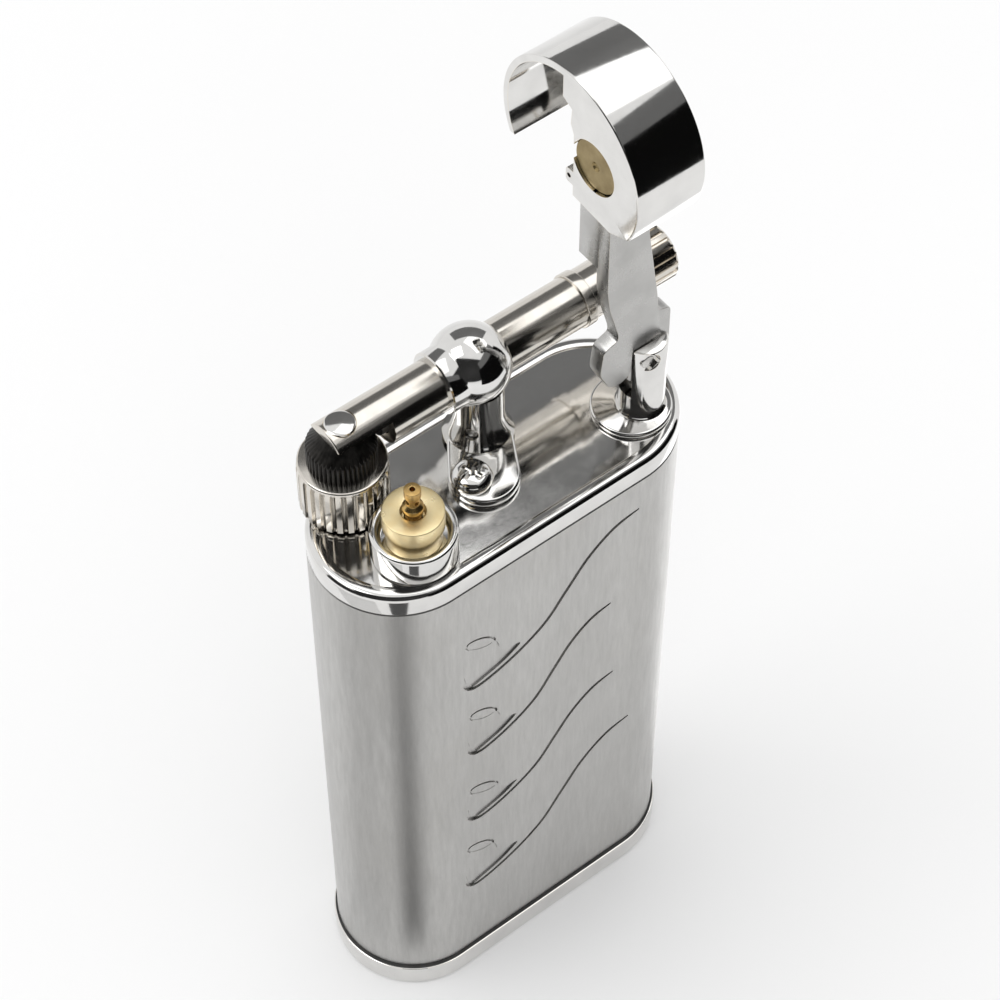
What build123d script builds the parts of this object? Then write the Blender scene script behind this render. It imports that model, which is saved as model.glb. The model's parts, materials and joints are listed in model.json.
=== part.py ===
"""Flint pipe lighter: oval metal body, side-swinging snuffer arm, exposed flint tube and burner.

Frame: origin at the centre of the base's bottom face, +Z up, +X towards the hinge post,
-Y is the front with the engraved pipes. Millimetres. The snuffer arm stands open.
"""
from build123d import *
import os

os.makedirs("parts", exist_ok=True)

# Body
BODY_W = 32.0
BODY_D = 13.65
END_R = BODY_D / 2
SHEET = 0.6
FIT = 0.05
BASE_TOP = 2.92
SLEEVE_TOP = 56.71
CAP_TOP = 58.79
DECK = 58.67
LIP = 1.15
SKIRT_DROP = 2.2

# Burner, on the front left of the deck
BURNER = (-9.5, -2.6)
CUP_R = 3.3
CUP_TOP = 61.4
DISC_R = 2.33
DISC_TOP = 63.5
CUP_FLOOR = 60.3
NECK_R = 1.5
STEM_R = 0.62
NOZZLE_TOP = 66.05
VALVE_BOTTOM = 46.0

# Spark wheel and flint tube, on the back of the deck
WHEEL = (-10.9, 4.1)
RING_R = 3.42
RING_BOTTOM = 58.95
RING_TOP = 63.85
WHEEL_R = 2.65
WHEEL_TOP = 67.0
AXLE_R = 0.75
TUBE_Y = 4.1
TUBE_Z = 66.0
TUBE_R = 2.1
BORE_R = 1.3
TUBE_LEFT = -12.3
TUBE_SHOULDER = -7.5
TUBE_RIGHT = 16.0
TONGUE_UNDER = 67.15
KNOB_R = 2.4
KNOB_LEFT = 16.15
KNOB_RIGHT = 19.15
BALL_X = 0.8
BALL_R = 3.2
PILLAR = (0.8, 3.1)
PILLAR_R = 2.0
FOOT_SCREW = (-2.5, -0.4)

# Hinge post and snuffer arm, on the right of the deck
POST = (12.1, -2.4)
POST_R = 1.8
POST_TOP = 66.9
TENON_R = 1.0
FLANGE = (11.5, -2.0)
FLANGE_R = 3.15
SLOT_BOTTOM = 61.6
HINGE = (11.3, 65.9)
PIN_R = 0.58
ARM_T = 1.3
ARM_Y = -2.4
SLOT_W = ARM_T + 0.15
LUG = (11.85, 65.05)
LUG_R = 2.1

# Snuffer cap, drawn in its open place: axis along X, face towards -X
DRUM_NEAR = 7.1
DRUM_FAR = 13.05
DRUM = (0.86, 87.0)
DRUM_R = 7.35
DRUM_WALL = 0.5
CEILING = 0.6
PAD = (-1.74, 87.6)
PAD_R = 2.15

# Underside
FILLER = (7.0, 0.0)
ADJUSTER = (-6.5, 0.0)
TANK_BOTTOM = 3.6
TANK_TOP = 53.4

FRONT = Plane(origin=(0, -END_R, 0), x_dir=(1, 0, 0), z_dir=(0, -1, 0))


def face_x(x):
    """Plane across the X axis whose local x is world Y and local y is world Z."""
    return Plane(origin=(x, 0, 0), x_dir=(0, 1, 0), z_dir=(1, 0, 0))


def face_y(y):
    """Plane across the Y axis whose local x is world X and local y is world Z."""
    return Plane(origin=(0, y, 0), x_dir=(1, 0, 0), z_dir=(0, -1, 0))


def at(point, z):
    """Level plane at height z, centred on a point of the deck."""
    return Plane(origin=(point[0], point[1], z))


def save(piece, name):
    """Label a finished piece and write its file."""
    piece.part.label = name
    export_step(piece.part, f"parts/{name}.step")


def tube(point, z, height, outer, inner=0.0):
    """Plain round piece standing on the deck plan: a rod, ring or bush."""
    with BuildPart() as piece:
        with BuildSketch(at(point, z)):
            Circle(outer)
            if inner > 0:
                Circle(inner, mode=Mode.SUBTRACT)
        extrude(amount=height)
    return piece


def coil(point, z, height, radius, wire, turns):
    """Compression spring with its axis upright."""
    with BuildPart() as piece:
        with BuildLine(at(point, z + wire)) as path:
            Helix(pitch=(height - 2 * wire) / turns, height=height - 2 * wire, radius=radius)
        with BuildSketch(Plane(path.line @ 0, z_dir=path.line % 0)):
            Circle(wire)
        sweep(path=path.line)
    return piece


# ---------------------------------------------------------------- body shell
# Engraved pipes: bowl foot (x, z), how far the stem rises and how long it runs
PIPES = [
    {"foot": (-6.6, 43.3), "run": 15.2, "rise": 9.9, "bowl": (3.4, 6.0)},
    {"foot": (-6.4, 33.7), "run": 12.6, "rise": 9.0, "bowl": (3.2, 5.6)},
    {"foot": (-6.4, 23.6), "run": 13.2, "rise": 8.8, "bowl": (3.5, 4.6)},
    {"foot": (-6.8, 13.0), "run": 15.6, "rise": 10.8, "bowl": (3.3, 6.2)},
]
LINE_W = 0.24
LINE_DEPTH = 0.16
BOWL_DEPTH = 0.05


def stem_curve(pipe):
    """Underside of one pipe: along the bowl's foot, up the shank and out to the bit."""
    x, z = pipe["foot"]
    run, rise = pipe["run"], pipe["rise"]
    Spline(
        (x - 1.3, z + 1.1),
        (x, z),
        (x + 0.40 * run, z + 0.26 * rise),
        (x + 0.66 * run, z + 0.74 * rise),
        (x + run, z + rise),
    )


with BuildPart() as body_sleeve:
    with BuildSketch(Plane.XY.offset(BASE_TOP)):
        SlotOverall(BODY_W, BODY_D)
        SlotOverall(BODY_W - 2 * SHEET, BODY_D - 2 * SHEET, mode=Mode.SUBTRACT)
    extrude(amount=SLEEVE_TOP - BASE_TOP)
    for pipe in PIPES:
        bowl_w, bowl_h = pipe["bowl"]
        with BuildSketch(FRONT):
            with Locations((pipe["foot"][0], pipe["foot"][1] + bowl_h / 2)):
                RectangleRounded(bowl_w, bowl_h, 1.3)
        extrude(amount=-BOWL_DEPTH, mode=Mode.SUBTRACT)
        with BuildSketch(FRONT):
            with BuildLine():
                stem_curve(pipe)
            trace(line_width=LINE_W)
        extrude(amount=-LINE_DEPTH, mode=Mode.SUBTRACT)
        with BuildSketch(FRONT):
            with Locations(Location((pipe["foot"][0], pipe["foot"][1] + bowl_h), -32)):
                Ellipse(bowl_w * 0.46, 0.55)
                Ellipse(bowl_w * 0.46 - LINE_W, 0.55 - LINE_W, mode=Mode.SUBTRACT)
        extrude(amount=-LINE_DEPTH, mode=Mode.SUBTRACT)
save(body_sleeve, "body_sleeve")

# Top cap: flush rim, shallow deck, skirt inside the sleeve
DECK_HOLES = [(BURNER, NECK_R + FIT), (POST, TENON_R), (FOOT_SCREW, 0.8)]
DECK_SEATS = [(BURNER, CUP_R), (FLANGE, FLANGE_R)]
with BuildPart() as top_cap:
    with BuildSketch(Plane.XY.offset(SLEEVE_TOP)):
        SlotOverall(BODY_W, BODY_D)
    extrude(amount=CAP_TOP - SLEEVE_TOP)
    fillet(top_cap.edges().group_by(Axis.Z)[-1], 0.55)
    with BuildSketch(Plane.XY.offset(CAP_TOP)):
        SlotOverall(BODY_W - 2 * LIP, BODY_D - 2 * LIP)
        for centre, radius in DECK_SEATS:
            with Locations(centre):
                Circle(radius)
    extrude(amount=DECK - CAP_TOP, mode=Mode.SUBTRACT)
    with BuildSketch(Plane.XY.offset(SLEEVE_TOP - SKIRT_DROP)):
        SlotOverall(BODY_W - 2 * SHEET - 0.1, BODY_D - 2 * SHEET - 0.1)
        SlotOverall(BODY_W - 2 * SHEET - 1.3, BODY_D - 2 * SHEET - 1.3, mode=Mode.SUBTRACT)
    extrude(amount=SKIRT_DROP)
    for centre, radius in DECK_HOLES:
        with BuildSketch(at(centre, SLEEVE_TOP)):
            Circle(radius)
        extrude(amount=CAP_TOP - SLEEVE_TOP, mode=Mode.SUBTRACT)
    with BuildSketch(at(WHEEL, 57.6)):
        Circle(AXLE_R)
    extrude(amount=CAP_TOP - 57.6, mode=Mode.SUBTRACT)
save(top_cap, "top_cap")

# Base cap: a tray a hair wider than the sleeve, with a spigot up inside it
PROUD = 0.1
FLOOR = 1.2
with BuildPart() as base_cap:
    with BuildSketch():
        SlotOverall(BODY_W + 2 * PROUD, BODY_D + 2 * PROUD)
    extrude(amount=BASE_TOP)
    fillet(base_cap.edges().group_by(Axis.Z)[0], 0.45)
    chamfer(base_cap.edges().group_by(Axis.Z)[-1], 0.12)
    with BuildSketch(Plane.XY.offset(BASE_TOP)):
        SlotOverall(BODY_W - 2 * SHEET - 0.1, BODY_D - 2 * SHEET - 0.1)
    extrude(amount=1.6)
    with BuildSketch(Plane.XY.offset(FLOOR)):
        SlotOverall(BODY_W - 2 * SHEET - 1.1, BODY_D - 2 * SHEET - 1.1)
    extrude(amount=4.0, mode=Mode.SUBTRACT)
    for centre, radius in [(FILLER, 1.9), (ADJUSTER, 1.75)]:
        with BuildSketch(at(centre, 0)):
            Circle(radius)
        extrude(amount=FLOOR, mode=Mode.SUBTRACT)
    for side in (-1, 1):
        with BuildSketch(at((side * 12.6, 0), 0)):
            Circle(0.85)
        extrude(amount=FLOOR, mode=Mode.SUBTRACT)
        with BuildSketch(at((side * 12.6, 0), 0)):
            Circle(1.45)
        extrude(amount=0.5, mode=Mode.SUBTRACT)
save(base_cap, "base_cap")

# Two countersunk screws hold the base cap to the tank
with BuildPart() as base_screws:
    for side in (-1, 1):
        with BuildSketch(at((side * 12.6, 0), 0.05)):
            Circle(1.4)
            Rectangle(2.9, 0.4, rotation=35 * side, mode=Mode.SUBTRACT)
        extrude(amount=0.35)
        with BuildSketch(at((side * 12.6, 0), 0.3)):
            Circle(1.4)
        extrude(amount=0.2)
        with BuildSketch(at((side * 12.6, 0), 0.5)):
            Circle(0.8)
        extrude(amount=6.0)
save(base_screws, "base_screws")

# ---------------------------------------------------------------- fuel tank
TANK_GAP = 0.35
TANK_W = BODY_W - 2 * SHEET - 2 * TANK_GAP - 0.7
TANK_D = BODY_D - 2 * SHEET - 2 * TANK_GAP - 0.7
TANK_WALL = 0.9
with BuildPart() as fuel_tank:
    with BuildSketch(Plane.XY.offset(TANK_BOTTOM)):
        SlotOverall(TANK_W, TANK_D)
    extrude(amount=TANK_TOP - TANK_BOTTOM)
    with BuildSketch(Plane.XY.offset(TANK_BOTTOM + 4.5)):
        SlotOverall(TANK_W - 2 * TANK_WALL, TANK_D - 2 * TANK_WALL)
    extrude(amount=TANK_TOP - TANK_BOTTOM, mode=Mode.SUBTRACT)
    for centre, radius in [(FILLER, 1.85), (ADJUSTER, 1.5)]:
        with BuildSketch(at(centre, TANK_BOTTOM)):
            Circle(radius)
        extrude(amount=4.5, mode=Mode.SUBTRACT)
    for side in (-1, 1):
        with BuildSketch(at((side * 12.6, 0), TANK_BOTTOM)):
            Circle(0.8)
        extrude(amount=2.9, mode=Mode.SUBTRACT)
save(fuel_tank, "fuel_tank")

with BuildPart() as tank_lid:
    with BuildSketch(Plane.XY.offset(TANK_TOP)):
        SlotOverall(TANK_W, TANK_D)
    extrude(amount=0.9)
    with BuildSketch(Plane.XY.offset(TANK_TOP - 1.0)):
        SlotOverall(TANK_W - 2 * TANK_WALL - 0.2, TANK_D - 2 * TANK_WALL - 0.2)
    extrude(amount=1.0)
    with BuildSketch(at(BURNER, TANK_TOP - 1.0)):
        Circle(2.0)
    extrude(amount=1.9, mode=Mode.SUBTRACT)
save(tank_lid, "tank_lid")

# ---------------------------------------------------------------- filler valve and flame adjuster
with BuildPart() as filler_valve:
    with BuildSketch(at(FILLER, 0.35)):
        Circle(1.85)
    extrude(amount=9.0)
    with BuildSketch(at(FILLER, 0.35)):
        Circle(0.65)
    extrude(amount=9.0, mode=Mode.SUBTRACT)
    with BuildSketch(at(FILLER, 3.0)):
        Circle(1.25)
    extrude(amount=5.4, mode=Mode.SUBTRACT)
save(filler_valve, "filler_valve")

with BuildPart() as filler_stem:
    with BuildSketch(at(FILLER, 0.55)):
        Circle(0.6)
        Circle(0.25, mode=Mode.SUBTRACT)
    extrude(amount=2.6)
    with BuildSketch(at(FILLER, 3.15)):
        Circle(1.1)
    extrude(amount=0.6)
save(filler_stem, "filler_stem")

save(coil(FILLER, 3.85, 4.45, 0.8, 0.12, 5), "filler_spring")
save(tube(FILLER, 9.45, 0.7, 1.7, 0.6), "filler_seal")

with BuildPart() as flame_adjuster:
    with BuildSketch(at(ADJUSTER, 0.3)):
        Circle(1.65)
        Rectangle(3.4, 0.5, mode=Mode.SUBTRACT)
    extrude(amount=0.7)
    with BuildSketch(at(ADJUSTER, 1.0)):
        Circle(1.65)
    extrude(amount=1.0)
    with BuildSketch(at(ADJUSTER, 2.0)):
        Circle(1.4)
    extrude(amount=5.2)
save(flame_adjuster, "flame_adjuster")
save(tube(ADJUSTER, 2.3, 0.9, 1.95, 1.46), "adjuster_seal")

# ---------------------------------------------------------------- burner
with BuildPart() as burner_cup:
    with BuildSketch(at(BURNER, DECK)):
        Circle(CUP_R)
    extrude(amount=CUP_TOP - DECK)
    fillet(burner_cup.edges().group_by(Axis.Z)[-1], 0.32)
    with BuildSketch(at(BURNER, CUP_FLOOR)):
        Circle(2.68)
    extrude(amount=CUP_TOP - CUP_FLOOR, mode=Mode.SUBTRACT)
    with BuildSketch(at(BURNER, DECK)):
        Circle(NECK_R + FIT)
    extrude(amount=CUP_FLOOR - DECK, mode=Mode.SUBTRACT)
    chamfer(burner_cup.edges().filter_by(GeomType.CIRCLE).group_by(Axis.Z)[-1], 0.15)
save(burner_cup, "burner_cup")

COUNTERBORE = 1.0
with BuildPart() as burner_disc:
    with BuildSketch(at(BURNER, CUP_FLOOR)):
        Circle(2.12)
    extrude(amount=1.55)
    with BuildSketch(at(BURNER, CUP_FLOOR + 1.55)):
        Circle(DISC_R)
    extrude(amount=DISC_TOP - CUP_FLOOR - 1.55)
    chamfer(burner_disc.edges().group_by(Axis.Z)[-1], 0.14)
    with BuildSketch(at(BURNER, CUP_FLOOR)):
        Circle(STEM_R + FIT)
    extrude(amount=4.0, mode=Mode.SUBTRACT)
    with BuildSketch(at(BURNER, DISC_TOP - COUNTERBORE)):
        Circle(0.86)
    extrude(amount=COUNTERBORE, mode=Mode.SUBTRACT)
save(burner_disc, "burner_disc")

# Nozzle: waisted tip with two gas ports, collar, long stem and a spring flange inside the valve
with BuildPart() as gas_nozzle:
    with BuildSketch(Plane.XZ.offset(-BURNER[1])):
        with BuildLine():
            Polyline(
                (BURNER[0], 55.0),
                (BURNER[0] + 1.1, 55.0),
                (BURNER[0] + 1.1, 55.6),
                (BURNER[0] + STEM_R, 55.6),
                (BURNER[0] + STEM_R, 63.58),
                (BURNER[0] + 0.78, 63.58),
                (BURNER[0] + 0.78, 64.15),
                (BURNER[0] + 0.46, 64.55),
                (BURNER[0] + 0.46, 65.05),
                (BURNER[0] + STEM_R, 65.35),
                (BURNER[0] + STEM_R, NOZZLE_TOP - 0.08),
                (BURNER[0] + STEM_R - 0.08, NOZZLE_TOP),
                (BURNER[0], NOZZLE_TOP),
                close=True,
            )
        make_face()
    revolve(axis=Axis((BURNER[0], BURNER[1], 0), (0, 0, 1)))
    with BuildSketch(at(BURNER, NOZZLE_TOP - 0.9)):
        Circle(0.2)
    extrude(amount=0.9, mode=Mode.SUBTRACT)
    with BuildSketch(face_y(BURNER[1] - 1)):
        with Locations((BURNER[0], 64.8)):
            Circle(0.18)
    extrude(amount=-2.0, mode=Mode.SUBTRACT)
save(gas_nozzle, "gas_nozzle")

with BuildPart() as valve_body:
    with BuildSketch(at(BURNER, VALVE_BOTTOM)):
        Circle(1.95)
    extrude(amount=56.6 - VALVE_BOTTOM)
    with BuildSketch(at(BURNER, 56.6)):
        Circle(NECK_R)
    extrude(amount=CUP_FLOOR - 56.6)
    with BuildSketch(at(BURNER, 55.9)):
        Circle(STEM_R + FIT)
    extrude(amount=5.0, mode=Mode.SUBTRACT)
    with BuildSketch(at(BURNER, 49.6)):
        Circle(1.25)
    extrude(amount=6.3, mode=Mode.SUBTRACT)
    with BuildSketch(at(BURNER, VALVE_BOTTOM)):
        Circle(0.85)
    extrude(amount=3.6, mode=Mode.SUBTRACT)
save(valve_body, "valve_body")

save(tube(BURNER, 49.6, 0.8, 1.2, 0.4), "valve_seal")
save(coil(BURNER, 50.5, 4.4, 0.8, 0.12, 5), "valve_spring")
save(tube(BURNER, 12.0, 37.4, 0.8), "fuel_wick")
save(tube(BURNER, 55.3, 0.9, 2.9, 2.0), "valve_gasket")

# ---------------------------------------------------------------- spark wheel
FLUTES = 26
TEETH = 44
with BuildPart() as thumb_ring:
    with BuildSketch(at(WHEEL, RING_BOTTOM)):
        Circle(RING_R - 0.22)
        with PolarLocations(RING_R - 0.36, FLUTES):
            Circle(0.36)
        Circle(AXLE_R + FIT, mode=Mode.SUBTRACT)
    extrude(amount=RING_TOP - RING_BOTTOM - 0.25)
    with BuildSketch(at(WHEEL, RING_TOP - 0.25)):
        Circle(RING_R - 0.1)
        Circle(AXLE_R + FIT, mode=Mode.SUBTRACT)
    extrude(amount=0.25)
save(thumb_ring, "thumb_ring")

with BuildPart() as spark_wheel:
    with BuildSketch(at(WHEEL, RING_TOP)):
        Circle(WHEEL_R)
        with PolarLocations(WHEEL_R, TEETH):
            Rectangle(0.24, 0.17, mode=Mode.SUBTRACT)
        Circle(AXLE_R + FIT, mode=Mode.SUBTRACT)
    extrude(amount=WHEEL_TOP - RING_TOP - 0.35)
    with BuildSketch(at(WHEEL, WHEEL_TOP - 0.35)):
        Circle(WHEEL_R - 0.12)
        Circle(AXLE_R + FIT, mode=Mode.SUBTRACT)
    extrude(amount=0.35, taper=35)
save(spark_wheel, "spark_wheel")

RIVET_R = 1.18
with BuildPart() as wheel_axle:
    with BuildSketch(at(WHEEL, 57.6)):
        Circle(AXLE_R)
    extrude(amount=67.7 - 57.6)
    with BuildSketch(at(WHEEL, 67.7)):
        Circle(RIVET_R)
    extrude(amount=0.42)
    chamfer(wheel_axle.edges().group_by(Axis.Z)[-1], 0.06)
save(wheel_axle, "wheel_axle")
save(tube(WHEEL, DECK, 0.2, 1.2, AXLE_R + FIT), "wheel_washer")

# ---------------------------------------------------------------- flint tube
with BuildPart() as flint_tube:
    with BuildSketch(face_x(TUBE_LEFT)):
        with Locations((TUBE_Y, TUBE_Z)):
            Circle(TUBE_R)
    extrude(amount=TUBE_RIGHT - TUBE_LEFT)
    with BuildSketch(face_x(TUBE_SHOULDER - 0.7)):
        with Locations((TUBE_Y, TUBE_Z)):
            Circle(BORE_R)
    extrude(amount=TUBE_RIGHT - TUBE_SHOULDER + 0.7, mode=Mode.SUBTRACT)
    with BuildSketch(face_x(TUBE_LEFT)):
        with Locations((TUBE_Y, TONGUE_UNDER - 2.5)):
            Rectangle(6, 5)
    extrude(amount=TUBE_SHOULDER - TUBE_LEFT, mode=Mode.SUBTRACT)
    with BuildSketch(at(WHEEL, TONGUE_UNDER)):
        Circle(AXLE_R)
    extrude(amount=2, mode=Mode.SUBTRACT)
    with BuildSketch(at(WHEEL, 67.7)):
        Circle(RIVET_R)
    extrude(amount=2, mode=Mode.SUBTRACT)
save(flint_tube, "flint_tube")


def along_tube(left, right, outer, inner=0.0):
    """Round piece on the flint tube's axis."""
    with BuildPart() as piece:
        with BuildSketch(face_x(left)):
            with Locations((TUBE_Y, TUBE_Z)):
                Circle(outer)
                if inner > 0:
                    Circle(inner, mode=Mode.SUBTRACT)
        extrude(amount=right - left)
    return piece


with BuildPart() as tube_collar:
    with BuildSketch(face_x(10.4)):
        with Locations((TUBE_Y, TUBE_Z)):
            Circle(TUBE_R + 0.16)
            Circle(TUBE_R, mode=Mode.SUBTRACT)
    extrude(amount=0.9)
save(tube_collar, "tube_collar")

save(along_tube(-8.05, -3.4, 1.2), "flint")
save(along_tube(-3.3, -2.3, 1.2), "flint_follower")

with BuildPart() as flint_spring:
    with BuildLine() as spring_path:
        Helix(
            pitch=1.25,
            height=13.75,
            radius=0.95,
            center=(-2.1, TUBE_Y, TUBE_Z),
            direction=(1, 0, 0),
        )
    with BuildSketch(Plane(spring_path.line @ 0, z_dir=spring_path.line % 0)):
        Circle(0.14)
    sweep(path=spring_path.line)
save(flint_spring, "flint_spring")

KNURLS = 22
with BuildPart() as flint_screw:
    with BuildSketch(face_x(KNOB_LEFT)):
        with Locations((TUBE_Y, TUBE_Z)):
            Circle(KNOB_R)
            with PolarLocations(KNOB_R, KNURLS):
                Rectangle(0.34, 0.3, mode=Mode.SUBTRACT)
    extrude(amount=KNOB_RIGHT - KNOB_LEFT - 0.25)
    with BuildSketch(face_x(KNOB_RIGHT - 0.25)):
        with Locations((TUBE_Y, TUBE_Z)):
            Circle(KNOB_R - 0.15)
    extrude(amount=0.25, taper=40)
    with BuildSketch(face_x(KNOB_RIGHT)):
        with Locations((TUBE_Y, TUBE_Z)):
            Rectangle(6, 0.5)
    extrude(amount=-0.6, mode=Mode.SUBTRACT)
    with BuildSketch(face_x(12.0)):
        with Locations((TUBE_Y, TUBE_Z)):
            Circle(BORE_R - FIT)
    extrude(amount=KNOB_LEFT - 12.0)
save(flint_screw, "flint_screw")

# ---------------------------------------------------------------- ball, pillar and its screw
with BuildPart() as centre_ball:
    with Locations((BALL_X, TUBE_Y, TUBE_Z)):
        Sphere(BALL_R)
    with BuildSketch(face_x(BALL_X - BALL_R - 0.1)):
        with Locations((TUBE_Y, TUBE_Z)):
            Circle(2.55)
    extrude(amount=1.2)
    with BuildSketch(face_x(BALL_X - 2 * BALL_R)):
        with Locations((TUBE_Y, TUBE_Z)):
            Circle(TUBE_R)
    extrude(amount=4 * BALL_R, mode=Mode.SUBTRACT)
save(centre_ball, "centre_ball")

FOOT_TOP = 59.45
with BuildPart() as pillar:
    with BuildSketch(Plane.XY.offset(DECK)):
        with Locations((0.8, 3.0)):
            Circle(2.45)
        with Locations((-1.5, -0.6)):
            Circle(2.7)
        make_hull()
    extrude(amount=FOOT_TOP - DECK)
    fillet(pillar.edges().group_by(Axis.Z)[-1], 0.25)
    with BuildSketch(at(PILLAR, FOOT_TOP - 0.3)):
        Circle(2.5)
    with BuildSketch(at(PILLAR, 61.6)):
        Circle(PILLAR_R)
    loft()
    with BuildSketch(at(PILLAR, 61.6)):
        Circle(PILLAR_R)
    extrude(amount=2.6)
    with Locations((BALL_X, TUBE_Y, TUBE_Z)):
        Sphere(BALL_R, mode=Mode.SUBTRACT)
    with BuildSketch(at(FOOT_SCREW, DECK)):
        Circle(0.8)
    extrude(amount=2.0, mode=Mode.SUBTRACT)
    with BuildSketch(at(FOOT_SCREW, FOOT_TOP - 0.1)):
        Circle(1.62)
    extrude(amount=3.0, mode=Mode.SUBTRACT)
save(pillar, "pillar")

with BuildPart() as pillar_screw:
    with BuildSketch(at(FOOT_SCREW, 55.6)):
        Circle(0.8)
    extrude(amount=FOOT_TOP - 0.1 - 55.6)
    with BuildSketch(at(FOOT_SCREW, FOOT_TOP - 0.1)):
        Circle(1.5)
    extrude(amount=0.95)
    fillet(pillar_screw.edges().group_by(Axis.Z)[-1], 0.4)
    with BuildSketch(at(FOOT_SCREW, FOOT_TOP + 0.25)):
        Rectangle(1.7, 0.34, rotation=20)
        Rectangle(0.34, 1.7, rotation=20)
    extrude(amount=1.0, mode=Mode.SUBTRACT)
save(pillar_screw, "pillar_screw")

# ---------------------------------------------------------------- hinge post
with BuildPart() as hinge_post:
    with BuildSketch(at(FLANGE, DECK)):
        Circle(FLANGE_R)
    extrude(amount=0.5)
    fillet(hinge_post.edges().group_by(Axis.Z)[-1], 0.22)
    with BuildSketch(at(POST, DECK)):
        Circle(POST_R + 0.15)
    extrude(amount=0.7)
    with BuildSketch(at(POST, DECK)):
        Circle(POST_R)
    extrude(amount=POST_TOP - DECK)
    chamfer(hinge_post.edges().group_by(Axis.Z)[-1], 0.16)
    with BuildSketch(at(POST, 55.2)):
        Circle(TENON_R)
    extrude(amount=DECK - 55.2)
    with BuildSketch(at(POST, SLOT_BOTTOM)):
        Rectangle(6, SLOT_W)
    extrude(amount=8, mode=Mode.SUBTRACT)
    with BuildSketch(at(POST, 57.0)):
        Circle(0.65)
    extrude(amount=6, mode=Mode.SUBTRACT)
    with BuildSketch(face_y(-5)):
        with Locations(HINGE):
            Circle(PIN_R)
    extrude(amount=-6, mode=Mode.SUBTRACT)
    with BuildSketch(face_y(-5)):
        with Locations(HINGE):
            Circle(0.85)
    extrude(amount=-1.15, mode=Mode.SUBTRACT)
save(hinge_post, "hinge_post")

with BuildPart() as hinge_pin:
    with BuildSketch(face_y(-3.85)):
        with Locations(HINGE):
            Circle(PIN_R)
    extrude(amount=-2.9)
save(hinge_pin, "hinge_pin")

save(tube(POST, 60.3, 1.2, 0.6), "detent_plunger")
save(coil(POST, 57.1, 3.15, 0.5, 0.09, 5), "detent_spring")

with BuildPart() as post_nut:
    with BuildSketch(at(POST, 55.4)):
        RegularPolygon(1.75, 6)
        Circle(TENON_R, mode=Mode.SUBTRACT)
    extrude(amount=1.25)
save(post_nut, "post_nut")

# ---------------------------------------------------------------- snuffer arm
ARM_BACK = ARM_Y + ARM_T / 2
with BuildPart() as snuffer_arm:
    with BuildSketch(face_y(ARM_Y - ARM_T / 2)):
        with Locations(LUG):
            Circle(LUG_R)
        with BuildLine():
            Polyline(
                (LUG[0] + LUG_R, LUG[1]),
                (13.95, 69.9),
                (12.75, 70.0),
                (12.55, 72.0),
                (11.43, 79.2),
                (11.4, 84.9),
                (7.7, 84.9),
                (7.75, 75.4),
                (7.95, 73.6),
                (8.9, 70.1),
                (9.9, 66.0),
                (LUG[0], LUG[1] - 1.0),
                close=True,
            )
        make_face()
        with BuildLine():
            Polyline(
                (9.3, 69.4),
                (7.7, 68.9),
                (7.4, 66.4),
                (8.45, 64.2),
                (9.9, 64.0),
                (10.8, 66.5),
                close=True,
            )
        make_face()
        with Locations(HINGE):
            Circle(PIN_R + 0.04, mode=Mode.SUBTRACT)
    extrude(amount=-ARM_T)
    with BuildSketch(face_y(ARM_BACK)):
        with Locations((8.0, 79.9)):
            Rectangle(0.6, 5.4)
    extrude(amount=-2.0)
save(snuffer_arm, "snuffer_arm")

# ---------------------------------------------------------------- snuffer cap
def on_drum(*points):
    """Points of the cap's face, given from its centre as (y, z)."""
    return [(DRUM[0] + y, DRUM[1] + z) for y, z in points]


# Solid block on the front side, thin-walled hollow behind it, open underneath for the tube
UNDERSIDE = on_drum(
    (-9.0, -9.0),
    (-9.0, -3.0),
    (-6.6, -3.3),
    (-4.5, -4.2),
    (-0.3, -3.8),
    (-0.3, -3.2),
    (9.0, -3.2),
    (9.0, -9.0),
)
BLOCK = on_drum(
    (-12.0, -9.0),
    (-12.0, 12.0),
    (0.8, 12.0),
    (0.8, 4.8),
    (-0.2, 4.3),
    (-0.1, 2.9),
    (-0.45, 2.1),
    (-0.5, 0.4),
    (-0.5, -9.0),
)
with BuildPart() as snuffer_drum:
    with BuildSketch(face_x(DRUM_NEAR)):
        with Locations(DRUM):
            Circle(DRUM_R)
        with BuildLine():
            Polyline(*UNDERSIDE, close=True)
        make_face(mode=Mode.SUBTRACT)
    extrude(amount=DRUM_FAR - DRUM_NEAR)
    fillet(snuffer_drum.edges().filter_by(GeomType.CIRCLE).group_by(Axis.X)[-1], 0.3)
    with BuildSketch(face_x(DRUM_NEAR)):
        with Locations(DRUM):
            Circle(DRUM_R - DRUM_WALL)
        with BuildLine():
            Polyline(*BLOCK, close=True)
        make_face(mode=Mode.SUBTRACT)
    extrude(amount=DRUM_FAR - DRUM_NEAR - CEILING, mode=Mode.SUBTRACT)
    with BuildSketch(face_x(DRUM_NEAR)):
        with Locations(*on_drum((-0.2, -2.2))):
            RectangleRounded(1.0, 1.3, 0.3)
        with Locations(*on_drum((-0.1, -2.2))):
            Circle(0.2, mode=Mode.SUBTRACT)
    extrude(amount=1.1)
    with BuildSketch(face_x(DRUM_NEAR)):
        with Locations(PAD):
            Circle(PAD_R + 0.06)
    extrude(amount=1.9, mode=Mode.SUBTRACT)
    with BuildSketch(face_x(7.7)):
        with Locations((ARM_Y, 82.9)):
            Rectangle(ARM_T, 4.0)
    extrude(amount=3.73, mode=Mode.SUBTRACT)
save(snuffer_drum, "snuffer_drum")

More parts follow.
